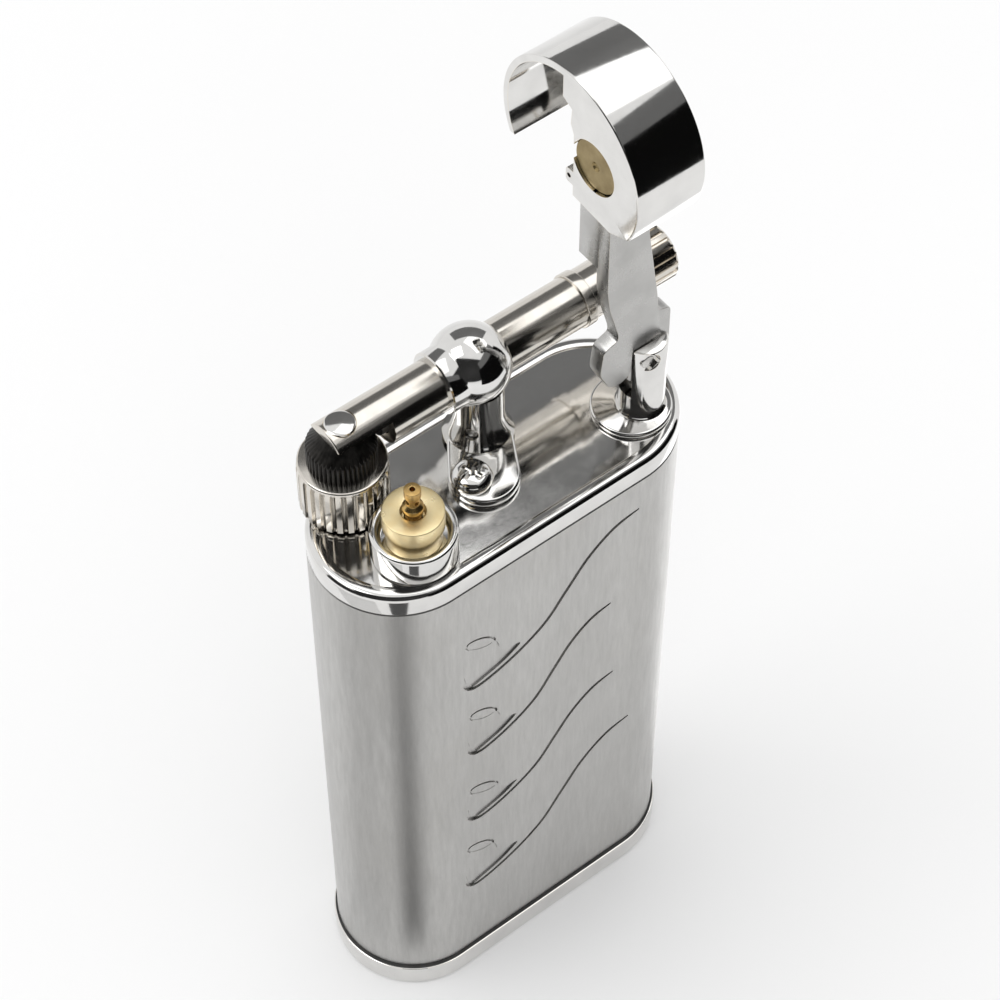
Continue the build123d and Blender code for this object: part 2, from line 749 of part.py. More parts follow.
with BuildPart() as seal_pad:
    with BuildSketch(face_x(DRUM_NEAR + 0.2)):
        with Locations(PAD):
            Circle(PAD_R)
    extrude(amount=1.1)
    with BuildSketch(face_x(DRUM_NEAR + 0.2)):
        with Locations(PAD):
            Circle(0.35)
    extrude(amount=0.3, taper=30, mode=Mode.SUBTRACT)
save(seal_pad, "seal_pad")

with BuildPart() as pad_washer:
    with BuildSketch(face_x(DRUM_NEAR + 1.3)):
        with Locations(PAD):
            Circle(PAD_R - 0.1)
    extrude(amount=0.6)
save(pad_washer, "pad_washer")
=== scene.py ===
"""Looks for the flint pipe lighter: detailed meshes, procedural metals, studio light and camera.

Everything is in the CAD frame, in metres; MM turns millimetres into metres. +Z up, +X towards
the hinge post, -Y is the engraved front.
"""

import json
import math

import bmesh
import bpy
from mathutils import Matrix, Vector


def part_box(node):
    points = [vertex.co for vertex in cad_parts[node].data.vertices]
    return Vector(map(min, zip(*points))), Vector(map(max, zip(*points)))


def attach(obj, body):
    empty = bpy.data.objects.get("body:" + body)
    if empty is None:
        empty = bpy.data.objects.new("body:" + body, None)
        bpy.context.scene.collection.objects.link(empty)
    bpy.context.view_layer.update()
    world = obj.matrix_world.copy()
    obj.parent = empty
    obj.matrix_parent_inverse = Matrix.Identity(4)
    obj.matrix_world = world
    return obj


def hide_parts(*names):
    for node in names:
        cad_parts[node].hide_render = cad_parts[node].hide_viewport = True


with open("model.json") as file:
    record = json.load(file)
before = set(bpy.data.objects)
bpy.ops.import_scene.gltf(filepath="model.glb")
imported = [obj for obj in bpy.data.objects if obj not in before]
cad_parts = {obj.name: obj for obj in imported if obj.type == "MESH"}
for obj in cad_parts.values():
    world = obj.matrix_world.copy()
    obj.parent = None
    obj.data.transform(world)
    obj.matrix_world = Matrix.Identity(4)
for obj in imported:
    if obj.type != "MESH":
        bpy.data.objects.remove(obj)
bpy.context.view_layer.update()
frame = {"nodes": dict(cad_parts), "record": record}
MM = 0.001
NODES = frame["nodes"]


# ---------------------------------------------------------------- places read from the frame
def box_mm(node):
    """Lowest and highest corner of a CAD node in millimetres."""
    low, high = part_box(node)
    return low / MM, high / MM


def middle(node):
    """Centre of a CAD node's box in millimetres."""
    low, high = box_mm(node)
    return (low + high) / 2


SLEEVE_LOW, SLEEVE_HIGH = box_mm("body_sleeve")
CAP_TOP = box_mm("top_cap")[1].z
BURNER = middle("burner_cup")
WHEEL = middle("wheel_axle")
TUBE = middle("flint_tube")
BALL_CENTRE = Vector((0.8, TUBE.y, TUBE.z))
POST = Vector((12.1, -2.4, 0))
DRUM_LOW, DRUM_HIGH = box_mm("snuffer_drum")
DECK = box_mm("burner_cup")[0].z  # height of the cap's flat deck
BODY_W = SLEEVE_HIGH.x - SLEEVE_LOW.x
BODY_D = SLEEVE_HIGH.y - SLEEVE_LOW.y


# ---------------------------------------------------------------- shader helpers
class Nodes:
    """A material's node tree with short calls for the nodes used here."""

    def __init__(self, name):
        self.material = bpy.data.materials.new(name)
        self.material.use_nodes = True
        self.tree = self.material.node_tree
        self.shader = self.tree.nodes["Principled BSDF"]
        self.coords = self.add("ShaderNodeTexCoord").outputs["Object"]

    def add(self, kind, **values):
        node = self.tree.nodes.new(kind)
        for key, value in values.items():
            setattr(node, key, value)
        return node

    def link(self, source, target):
        self.tree.links.new(source, target)

    def set(self, **values):
        """Uniform values on the shader's own sockets."""
        for key, value in values.items():
            self.shader.inputs[key.replace("_", " ")].default_value = value

    def scaled(self, scale):
        """Object coordinates stretched by scale (x, y, z)."""
        mapping = self.add("ShaderNodeMapping")
        mapping.inputs["Scale"].default_value = scale
        self.link(self.coords, mapping.inputs["Vector"])
        return mapping.outputs["Vector"]

    def noise(self, scale, detail=4.0, stretch=(1, 1, 1), rough=0.55):
        node = self.add("ShaderNodeTexNoise")
        node.inputs["Scale"].default_value = scale
        node.inputs["Detail"].default_value = detail
        node.inputs["Roughness"].default_value = rough
        self.link(self.scaled(stretch), node.inputs["Vector"])
        return node.outputs["Fac"]

    def ramp(self, fac, stops):
        """Colour ramp; stops are (position, grey or colour)."""
        node = self.add("ShaderNodeValToRGB")
        elements = node.color_ramp.elements
        while len(elements) < len(stops):
            elements.new(0.5)
        for element, (position, value) in zip(elements, stops):
            element.position = position
            colour = (value,) * 3 if isinstance(value, (int, float)) else value
            element.color = (*colour, 1)
        self.link(fac, node.inputs["Fac"])
        return node.outputs["Color"]

    def mix(self, fac, a, b, mode="MIX"):
        node = self.add("ShaderNodeMix", data_type="RGBA", blend_type=mode)
        for socket, value in (("Factor", fac), ("A", a), ("B", b)):
            slot = next(s for s in node.inputs if s.name == socket and s.enabled)
            if isinstance(value, bpy.types.NodeSocket):
                self.link(value, slot)
            elif isinstance(value, (int, float)) and socket == "Factor":
                slot.default_value = value
            else:
                slot.default_value = (*value, 1)
        return next(s for s in node.outputs if s.enabled)

    def bump(self, height, strength, distance, after=None):
        node = self.add("ShaderNodeBump")
        node.inputs["Strength"].default_value = strength
        node.inputs["Distance"].default_value = distance
        self.link(height, node.inputs["Height"])
        if after is not None:
            self.link(after, node.inputs["Normal"])
        return node.outputs["Normal"]


def edge_wear(n, width=0.00012):
    """1 on sharp edges and 0 on flats, from the angle between the bevelled and true normal."""
    bevel = n.add("ShaderNodeBevel", samples=4)
    bevel.inputs["Radius"].default_value = width
    geometry = n.add("ShaderNodeNewGeometry")
    dot = n.add("ShaderNodeVectorMath", operation="DOT_PRODUCT")
    n.link(bevel.outputs["Normal"], dot.inputs[0])
    n.link(geometry.outputs["Normal"], dot.inputs[1])
    return n.ramp(dot.outputs["Value"], [(0.86, 1.0), (0.99, 0.0)])


def polished(name, tint, rough=0.055, smudge=0.07, grain=(1, 1, 1), scratches=0.04):
    """Plated metal: faint smudges, hairline scratches and slightly worn edges."""
    n = Nodes(name)
    n.set(Metallic=1.0)
    cloud = n.noise(420, 5)
    hair = n.noise(2600, 3, grain, 0.7)
    dark = tuple(c * 0.90 for c in tint)
    base = n.mix(n.ramp(cloud, [(0.35, 0.0), (0.7, 1.0)]), tint, dark)
    warm = (tint[0] * 1.02, tint[1] * 0.96, tint[2] * 0.86)
    n.link(n.mix(edge_wear(n), base, warm), n.shader.inputs["Base Color"])
    rough_fac = n.ramp(cloud, [(0.35, rough), (0.75, rough + smudge)])
    hair_fac = n.ramp(hair, [(0.3, rough), (0.7, rough + 0.12)])
    n.link(n.mix(0.25, rough_fac, hair_fac), n.shader.inputs["Roughness"])
    n.link(n.bump(hair, scratches, 0.00002), n.shader.inputs["Normal"])
    return n.material


def satin_sleeve():
    """Blasted and vertically brushed nickel: fine grain, faint streaks and stains."""
    n = Nodes("satin_nickel")
    n.set(Metallic=1.0, Anisotropic=0.35)
    grain = n.noise(2200, 6, (1, 1, 0.12), 0.75)
    speckle = n.noise(9000, 3, (1, 1, 1), 0.8)
    streak = n.noise(150, 4, (1, 1, 0.16))
    cloud = n.noise(60, 5)
    base = n.mix(n.ramp(grain, [(0.25, 0.0), (0.75, 1.0)]), (0.56, 0.553, 0.538), (0.43, 0.425, 0.412))
    base = n.mix(n.ramp(streak, [(0.45, 0.0), (0.8, 0.45)]), base, (0.36, 0.355, 0.345))
    base = n.mix(n.ramp(cloud, [(0.5, 0.0), (0.75, 0.35)]), base, (0.46, 0.445, 0.42))
    n.link(base, n.shader.inputs["Base Color"])
    rough = n.mix(0.5, n.ramp(grain, [(0.2, 0.25), (0.8, 0.42)]), n.ramp(cloud, [(0.3, 0.27), (0.7, 0.38)]))
    n.link(rough, n.shader.inputs["Roughness"])
    fine = n.bump(speckle, 0.34, 0.00004)
    n.link(n.bump(grain, 0.16, 0.00004, fine), n.shader.inputs["Normal"])
    return n.material


def brass(name, tint, shade, rough):
    """Turned brass: patchy tarnish, a fine tooled grain and brighter edges."""
    n = Nodes(name)
    n.set(Metallic=1.0)
    cloud = n.noise(900, 5)
    fine = n.noise(5200, 4, (1, 1, 1), 0.7)
    base = n.mix(n.ramp(cloud, [(0.35, 0.0), (0.72, 1.0)]), tint, shade)
    bright = tuple(min(1, c * 1.15) for c in tint)
    n.link(n.mix(edge_wear(n, 0.0001), base, bright), n.shader.inputs["Base Color"])
    n.link(n.ramp(cloud, [(0.3, rough), (0.8, rough + 0.16)]), n.shader.inputs["Roughness"])
    n.link(n.bump(fine, 0.25, 0.00002), n.shader.inputs["Normal"])
    return n.material


def dark_steel():
    """File-cut hardened steel, nearly black, a little lighter on the crests."""
    n = Nodes("wheel_steel")
    n.set(Metallic=1.0)
    cloud = n.noise(1800, 5)
    base = n.mix(n.ramp(cloud, [(0.3, 0.0), (0.75, 1.0)]), (0.022, 0.021, 0.020), (0.055, 0.052, 0.048))
    n.link(n.mix(edge_wear(n, 0.00006), base, (0.17, 0.165, 0.155)), n.shader.inputs["Base Color"])
    n.link(n.ramp(cloud, [(0.3, 0.32), (0.8, 0.5)]), n.shader.inputs["Roughness"])
    n.link(n.bump(n.noise(7000, 4), 0.3, 0.00003), n.shader.inputs["Normal"])
    return n.material


def plain(name, tint, shade, rough, metallic=1.0, scale=900, bump=0.2):
    """Inner parts: mottled colour, uneven roughness and a fine bump."""
    n = Nodes(name)
    n.set(Metallic=metallic)
    cloud = n.noise(scale, 5)
    n.link(n.mix(n.ramp(cloud, [(0.35, 0.0), (0.7, 1.0)]), tint, shade), n.shader.inputs["Base Color"])
    n.link(n.ramp(cloud, [(0.3, rough), (0.8, min(1, rough + 0.15))]), n.shader.inputs["Roughness"])
    n.link(n.bump(n.noise(scale * 6, 3), bump, 0.00003), n.shader.inputs["Normal"])
    return n.material


NICKEL = (0.76, 0.752, 0.735)
MATERIALS = {
    "satin_nickel": satin_sleeve(),
    "polished_nickel": polished("polished_nickel", NICKEL),
    "warm_nickel": polished("warm_nickel", (0.70, 0.665, 0.61), 0.12, 0.08, (1, 1, 1), 0.08),
    "satin_arm": polished("satin_arm", (0.50, 0.495, 0.482), 0.24, 0.10, (1, 1, 0.2), 0.10),
    "burner_brass": brass("burner_brass", (0.90, 0.76, 0.46), (0.86, 0.68, 0.36), 0.26),
    "nozzle_brass": brass("nozzle_brass", (0.66, 0.45, 0.18), (0.42, 0.26, 0.09), 0.24),
    "pad_brass": brass("pad_brass", (0.33, 0.255, 0.125), (0.26, 0.195, 0.09), 0.34),
    "valve_brass": brass("valve_brass", (0.78, 0.62, 0.33), (0.62, 0.46, 0.22), 0.30),
    "wheel_steel": dark_steel(),
    "screw_steel": plain("screw_steel", (0.66, 0.65, 0.63), (0.50, 0.49, 0.47), 0.20),
    "spring_steel": plain("spring_steel", (0.46, 0.46, 0.46), (0.30, 0.30, 0.30), 0.28),
    "flint_alloy": plain("flint_alloy", (0.17, 0.165, 0.16), (0.10, 0.10, 0.10), 0.55),
    "tank_alloy": plain("tank_alloy", (0.72, 0.72, 0.71), (0.60, 0.60, 0.59), 0.38),
    "seal_rubber": plain("seal_rubber", (0.02, 0.02, 0.02), (0.045, 0.043, 0.04), 0.62, 0.0),
    "wick_fibre": plain("wick_fibre", (0.78, 0.75, 0.68), (0.62, 0.58, 0.50), 0.85, 0.0, 1600, 0.8),
}
SLOT_OF = {row["node"]: row["material_slot"] for row in frame["record"]["subparts"]}
for node, piece in NODES.items():
    piece.data.materials.clear()
    piece.data.materials.append(MATERIALS[SLOT_OF[node]])


# ---------------------------------------------------------------- mesh helpers
def make(name, bm, body, *replaced, slot=None, sharp=32):
    """Link a finished bmesh as a piece that rides on a body and stands for CAD nodes."""
    bmesh.ops.remove_doubles(bm, verts=bm.verts, dist=1e-5)
    bmesh.ops.recalc_face_normals(bm, faces=bm.faces)
    bmesh.ops.scale(bm, vec=(MM,) * 3, verts=bm.verts)
    mesh = bpy.data.meshes.new(name)
    bm.to_mesh(mesh)
    bm.free()
    piece = bpy.data.objects.new(name, mesh)
    bpy.context.scene.collection.objects.link(piece)
    slot = slot or SLOT_OF[replaced[0]]
    mesh.materials.append(MATERIALS[slot])
    for face in mesh.polygons:
        face.use_smooth = True
    mesh.set_sharp_from_angle(angle=math.radians(sharp))
    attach(piece, body)
    if replaced:
        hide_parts(*replaced)


def soften(outline, radius, steps=4):
    """Closed outline of (a, b) points with each corner replaced by a short arc."""
    out = []
    count = len(outline)
    for i in range(count):
        before, here, after = (Vector(outline[(i + k) % count]) for k in (-1, 0, 1))
        into, away = (here - before), (after - here)
        r = min(radius, into.length * 0.4, away.length * 0.4)
        if r < 1e-4 or into.angle(away) < 0.15:
            out.append(tuple(here))
            continue
        start, end = here - into.normalized() * r, here + away.normalized() * r
        for k in range(steps + 1):
            t = k / steps
            out.append(tuple((1 - t) ** 2 * start + 2 * t * (1 - t) * here + t * t * end))
    return out


def lathe(profile, centre, axis="Z", steps=160):
    """Solid of revolution; profile is (radius, height) from the axis round to the axis."""
    bm = bmesh.new()
    rings = []
    for radius, height in profile:
        if radius < 1e-6:
            rings.append([bm.verts.new((0, 0, height))])
            continue
        ring = []
        for i in range(steps):
            a = 2 * math.pi * i / steps
            ring.append(bm.verts.new((radius * math.cos(a), radius * math.sin(a), height)))
        rings.append(ring)
    pairs = list(zip(rings, rings[1:]))
    if len(rings[0]) > 1:
        pairs.append((rings[-1], rings[0]))
    for low, high in pairs:
        for i in range(steps):
            j = (i + 1) % steps
            corners = [low[i % len(low)], low[j % len(low)], high[j % len(high)], high[i % len(high)]]
            unique = list(dict.fromkeys(corners))
            if len(unique) > 2:
                bm.faces.new(unique)
    place(bm, centre, axis)
    return bm


def place(bm, centre, axis="Z"):
    """Turn a mesh built about Z so its axis is X or -Y, then move it to centre (mm)."""
    turn = {
        "Z": Matrix.Identity(4),
        "X": Matrix.Rotation(math.radians(90), 4, "Y"),
        "Y": Matrix.Rotation(math.radians(90), 4, "X"),
    }[axis]
    bmesh.ops.transform(bm, matrix=Matrix.Translation(centre) @ turn, verts=bm.verts)


def rounded(profile, radius, steps=4):
    """Open (r, h) profile with its corners rounded."""
    out = [profile[0]]
    for before, here, after in zip(profile, profile[1:], profile[2:]):
        into, away = Vector(here) - Vector(before), Vector(after) - Vector(here)
        r = min(radius, into.length * 0.45, away.length * 0.45)
        if r < 1e-4:
            out.append(here)
            continue
        start, end = Vector(here) - into.normalized() * r, Vector(here) + away.normalized() * r
        for k in range(steps + 1):
            t = k / steps
            out.append(tuple((1 - t) ** 2 * start + 2 * t * (1 - t) * Vector(here) + t * t * end))
    return out + [profile[-1]]


def plate(outline, low, high, axis, edge=0.12, steps=3):
    """Outline of (a, b) points extruded from low to high along an axis with rounded rims.

    Along Y the outline is (x, z); along X it is (y, z); along Z it is (x, y).
    """
    place_point = {
        "X": lambda a, b, h: (h, a, b),
        "Y": lambda a, b, h: (a, h, b),
        "Z": lambda a, b, h: (a, b, h),
    }[axis]
    bm = bmesh.new()
    bottom = [bm.verts.new(place_point(a, b, low)) for a, b in outline]
    face = bm.faces.new(bottom)
    side = bmesh.ops.extrude_face_region(bm, geom=[face])
    top = [v for v in side["geom"] if isinstance(v, bmesh.types.BMVert)]
    shift = Vector(place_point(0, 0, high - low))
    bmesh.ops.translate(bm, vec=shift, verts=top)
    bmesh.ops.recalc_face_normals(bm, faces=bm.faces)
    if edge > 0:
        rims = [
            e for e in bm.edges
            if len(e.link_faces) == 2 and any(len(f.verts) > 4 for f in e.link_faces)
        ]
        bmesh.ops.bevel(
            bm, geom=rims, offset=edge, segments=steps, profile=0.5, affect="EDGES", clamp_overlap=True
        )
    return bm


def as_object(bm, name="cutter"):
    """Temporary object for a boolean, made from a bmesh that it uses up."""
    bmesh.ops.recalc_face_normals(bm, faces=bm.faces)
    mesh = bpy.data.meshes.new(name)
    bm.to_mesh(mesh)
    bm.free()
    thing = bpy.data.objects.new(name, mesh)
    bpy.context.scene.collection.objects.link(thing)
    return thing


def carve(bm, *cutters, operation="DIFFERENCE"):
    """Cut (or unite) other bmeshes with bm by exact booleans; returns the new bmesh."""
    target = as_object(bm, "target")
    for cutter in cutters:
        tool = as_object(cutter)
        modifier = target.modifiers.new("cut", "BOOLEAN")
        modifier.operation = operation
        modifier.solver = "EXACT"
        modifier.object = tool
        deps = bpy.context.evaluated_depsgraph_get()
        result = bpy.data.meshes.new_from_object(target.evaluated_get(deps))
        target.modifiers.clear()
        old = target.data
        target.data = result
        bpy.data.meshes.remove(old)
        bpy.data.meshes.remove(tool.data)
    out = bmesh.new()
    out.from_mesh(target.data)
    bpy.data.meshes.remove(target.data)
    return out


def stadium(width, depth, inset, steps):
    """Outline of a slot shape, (x, y) points anticlockwise."""
    r = depth / 2 - inset
    half = width / 2 - depth / 2
    points = []
    for centre, start in ((half, -90), (-half, 90)):
        for i in range(steps + 1):
            a = math.radians(start + 180 * i / steps)
            points.append((centre + r * math.cos(a), r * math.sin(a)))
    return points


def stadium_solid(profile, width, depth, steps):
    """Slot-shaped solid: profile is (inset, z) from the bottom ring to the last ring."""
    bm = bmesh.new()
    rings = []
    for inset, z in profile:
        rings.append([bm.verts.new((x, y, z)) for x, y in stadium(width, depth, inset, steps)])
    count = len(rings[0])
    for low, high in zip(rings, rings[1:]):
        for i in range(count):
            j = (i + 1) % count
            bm.faces.new((low[i], low[j], high[j], high[i]))
    bm.faces.new(list(reversed(rings[0])))
    bm.faces.new(rings[-1])
    return bm


def arc(centre, radius, start, end, steps=6):
    """Points of an arc in profile space, angles in degrees."""
    a, b = centre
    out = []
    for i in range(steps + 1):
        t = math.radians(start + (end - start) * i / steps)
        out.append((a + radius * math.cos(t), b + radius * math.sin(t)))
    return out


def block(low, high):
    """Plain box as a bmesh, for cutting."""
    bm = bmesh.new()
    bmesh.ops.create_cube(bm, size=1)
    low, high = Vector(low), Vector(high)
    bmesh.ops.scale(bm, vec=high - low, verts=bm.verts)
    bmesh.ops.translate(bm, vec=(low + high) / 2, verts=bm.verts)
    return bm


def rod(centre, radius, low, high, axis="Z", steps=64):
    """Plain cylinder along an axis, for cutting; low and high are measured from centre."""
    return lathe([(0, low), (radius, low), (radius, high), (0, high)], centre, axis, steps)


def fluted(levels, flutes, shape, centre, axis="Z", per=12):
    """Ribbed wheel: levels are (height, radius, depth of the grooves); shape(t) is 0 on a rib
    and 1 in a groove, for t from 0 to 1 round one rib."""
    bm = bmesh.new()
    rings = []
    count = flutes * per
    for height, radius, depth in levels:
        ring = []
        for i in range(count):
            a = 2 * math.pi * i / count
            r = radius - depth * shape((i % per) / per)
            ring.append(bm.verts.new((r * math.cos(a), r * math.sin(a), height)))
        rings.append(ring)
    for low, high in zip(rings, rings[1:]):
        for i in range(count):
            j = (i + 1) % count
            bm.faces.new((low[i], low[j], high[j], high[i]))
    bm.faces.new(list(reversed(rings[0])))
    bm.faces.new(rings[-1])
    place(bm, centre, axis)
    return bm


# ---------------------------------------------------------------- body
def ribbon(points, width, depth, taper=0.6):
    """Groove cutter on the front face along (x, z) points, narrower at its ends."""
    left, right = [], []
    count = len(points)
    for i, point in enumerate(points):
        before = Vector(points[max(0, i - 1)])
        after = Vector(points[min(count - 1, i + 1)])
        along = (after - before).normalized()
        side = Vector((-along.y, along.x))
        share = i / (count - 1)
        half = width / 2 * (1 - taper * max(0.0, abs(share - 0.5) * 2 - 0.8) / 0.2)
        left.append(tuple(Vector(point) + side * half))
        right.append(tuple(Vector(point) - side * half))
    front = SLEEVE_LOW.y
    return plate(left + right[::-1], front - 1, front + depth, "Y", edge=0)


def smooth_path(points, steps=10):
    """Catmull-Rom curve through (x, z) points."""
    ends = [points[0]] + list(points) + [points[-1]]
    out = []
    for p0, p1, p2, p3 in zip(ends, ends[1:], ends[2:], ends[3:]):
        p0, p1, p2, p3 = map(Vector, (p0, p1, p2, p3))
        for k in range(steps):
            t = k / steps
            out.append(tuple(0.5 * ((2 * p1) + (p2 - p0) * t + (2 * p0 - 5 * p1 + 4 * p2 - p3) * t * t
                                    + (3 * p1 - p0 - 3 * p2 + p3) * t ** 3)))
    return out + [tuple(points[-1])]


# Foot of each engraved pipe's bowl, its stem's run and rise, and the bowl's width and height
PIPES = [
    ((-6.6, 43.3), 15.2, 9.9, (3.4, 6.0)),
    ((-6.4, 33.7), 12.6, 9.0, (3.2, 5.6)),
    ((-6.4, 23.6), 13.2, 8.8, (3.5, 4.6)),
    ((-6.8, 13.0), 15.6, 10.8, (3.3, 6.2)),
]
STEM_GROOVE = (0.40, 0.20)  # width and depth
MOUTH_GROOVE = (0.19, 0.16)
BOWL_DEPTH = 0.14
MOUTH_TILT = math.radians(-33)


def engraving():
    """Cutters for the four generic pipes on the front: stem groove, bowl recess and its mouth."""
    front = SLEEVE_LOW.y
    cutters = []
    for (x, z), run, rise, (bowl_w, bowl_h) in PIPES:
        left = x - bowl_w / 2
        stem = [
            (left, z + 1.9),
            (left + 0.25, z + 0.5),
            (x - 0.2, z - 0.1),
            (x + 0.20 * run, z + 0.08 * rise),
            (x + 0.40 * run, z + 0.26 * rise),
            (x + 0.54 * run, z + 0.52 * rise),
            (x + 0.68 * run, z + 0.78 * rise),
            (x + 0.84 * run, z + 0.95 * rise),
            (x + run, z + rise),
        ]
        cutters.append(ribbon(smooth_path(stem), *STEM_GROOVE))
        outline = [
            (left + 0.45, z + bowl_h - 0.5),
            (left + 0.05, z + bowl_h * 0.75),
            (left - 0.05, z + 1.9),
            (left + 0.15, z + 0.8),
            (left + 0.75, z + 0.15),
            (x + 0.14 * run, z + 0.10 * rise),
            (x + 0.27 * run, z + 0.22 * rise),
            (x + bowl_w * 0.62, z + bowl_h * 0.42),
            (x + bowl_w * 0.5, z + bowl_h * 0.55),
            (x + bowl_w * 0.45, z + bowl_h - 1.7),
            (x + 0.2, z + bowl_h - 0.5),
        ]
        cutters.append(plate(soften(outline, 0.9, 6), front - 1, front + BOWL_DEPTH, "Y", edge=0))
        centre = Vector((x - 0.1, z + bowl_h - 0.6))
        turned = Matrix.Rotation(MOUTH_TILT, 2)
        mouth = []
        for i in range(31):  # stops short of a full turn, so that the groove doesn't meet itself
            a = 2 * math.pi * i / 31.5
            mouth.append(tuple(centre + turned @ Vector((bowl_w * 0.46 * math.cos(a), 0.62 * math.sin(a)))))
        cutters.append(ribbon(mouth, *MOUTH_GROOVE, taper=0))
    return cutters


def body_sleeve():
    """Satin sleeve with the engraved pipes cut into its front."""
    edge = 0.1
    low, high = SLEEVE_LOW.z, SLEEVE_HIGH.z
    profile = [(edge, low), (0, low + edge), (0, high - edge), (edge, high)]
    bm = stadium_solid(profile, BODY_W, BODY_D, steps=64)
    bm = carve(bm, *engraving())
    make("sleeve", bm, "case", "body_sleeve", sharp=28)


def top_cap():
    """Plated cap: rounded rim, a narrow lip and the flat deck."""
    rim = 0.55
    corner = [(rim - rim * math.cos(math.radians(a)), CAP_TOP - rim + rim * math.sin(math.radians(a)))
              for a in range(0, 91, 9)]
    profile = [(0.14, SLEEVE_HIGH.z), (0.03, SLEEVE_HIGH.z + 0.06), (0, SLEEVE_HIGH.z + 0.16)]
    profile += corner + [(1.08, CAP_TOP), (1.13, CAP_TOP - 0.02), (1.18, DECK)]
    bm = stadium_solid(profile, BODY_W, BODY_D, steps=96)
    make("cap_top", bm, "case", "top_cap", sharp=40)


LIP = 0.28  # how far the base stands out past the sleeve


def painted_shade_seam():
    """Near-black ring set in the groove between the base and the sleeve as painted shade: it stands in for
    the shadow that falls in that groove.
    """
    top = SLEEVE_LOW.z
    inner, bottom = 0.5, top - 0.36
    profile = [(inner, bottom), (LIP - 0.16, bottom), (LIP - 0.18, top - 0.1)]
    profile += [(LIP + 0.02, top + 0.01), (inner, top + 0.01)]
    bm = stadium_solid(profile, BODY_W + 2 * LIP, BODY_D + 2 * LIP, steps=64)
    # the near-black seal_rubber colour here is painted shade, darkening the groove where shadow falls
    make("painted_shade_seam", bm, "case", slot="seal_rubber")


def base_cap():
    """Plated base with a rounded foot and recesses for the valve, the adjuster and two screws."""
    foot = 0.45
    top = SLEEVE_LOW.z
    profile = [(foot - foot * math.sin(math.radians(a)), foot - foot * math.cos(math.radians(a)))
               for a in range(0, 91, 9)]
    shelf = top - 0.32  # the painted-shade ring sits on it
    profile += [(0, top - 0.46), (0.04, top - 0.36), (0.14, shelf), (0.6, shelf)]
    width, depth = BODY_W + 2 * LIP, BODY_D + 2 * LIP
    bm = stadium_solid(profile, width, depth, steps=96)
    holes = []
    for node, grow in (("filler_valve", 0.05), ("flame_adjuster", 0.1)):
        centre, size = middle(node), box_mm(node)[1] - box_mm(node)[0]
        holes.append(rod((centre.x, centre.y, 0), size.x / 2 + grow, -1, 1.2))
    screws = box_mm("base_screws")
    head_r = 1.4
    for x in (screws[0].x + head_r, screws[1].x - head_r):
        holes.append(rod((x, 0, 0), head_r + 0.05, -1, 0.5))
    make("cap_base", carve(bm, *holes), "case", "base_cap", sharp=35)


# ---------------------------------------------------------------- burner
def burner():
    """Polished cup, the brass burner in it and the waisted nozzle."""
    cup_low, cup_high = box_mm("burner_cup")
    outer = (cup_high.x - cup_low.x) / 2
    wall, hollow, bore = 0.62, 1.1, 0.7
    inner, floor, rim = outer - wall, cup_high.z - hollow, cup_high.z
    axis = (BURNER.x, BURNER.y, 0)
    cup = [(bore, DECK), (outer, DECK), (outer, rim), (inner, rim), (inner, floor), (bore, floor)]
    make("cup", lathe(rounded(cup, 0.26), axis, steps=192), "case", "burner_cup")

    low, high = box_mm("burner_disc")
    r, top = (high.x - low.x) / 2, high.z
    nozzle_top = box_mm("gas_nozzle")[1].z
    neck_r, well_r = 2.12, 0.92
    well = nozzle_top - 3.35  # deep enough for the nozzle's foot when it is pressed down
    disc = [(bore, low.z), (neck_r, low.z), (neck_r, low.z + 1.5), (r, low.z + 1.62)]
    disc += [(r, top), (well_r, top), (well_r, well), (bore, well)]
    make("burner_brass", lathe(rounded(disc, 0.11), axis, steps=192), "case", "burner_disc")

    stem_r, foot_r, tip_r, jet_r = 0.62, 0.80, 0.64, 0.2
    from_tip = [(0, -5), (stem_r, -5), (stem_r, -2.47), (foot_r, -2.47), (foot_r, -1.95), (0.52, -1.62),
                (0.50, -1.0), (tip_r, -0.75), (tip_r, -0.04), (jet_r, 0), (jet_r, -0.9), (0, -0.9)]
    profile = [(radius, nozzle_top + height) for radius, height in from_tip]
    bm = lathe(rounded(profile, 0.06), axis, steps=96)
    port = (BURNER.x, BURNER.y, nozzle_top - 1.25)
    ports = [rod(port, 0.2, -1, 1, direction, 24) for direction in ("Y", "X")]
    make("nozzle_tip", carve(bm, *ports), "nozzle", "gas_nozzle")


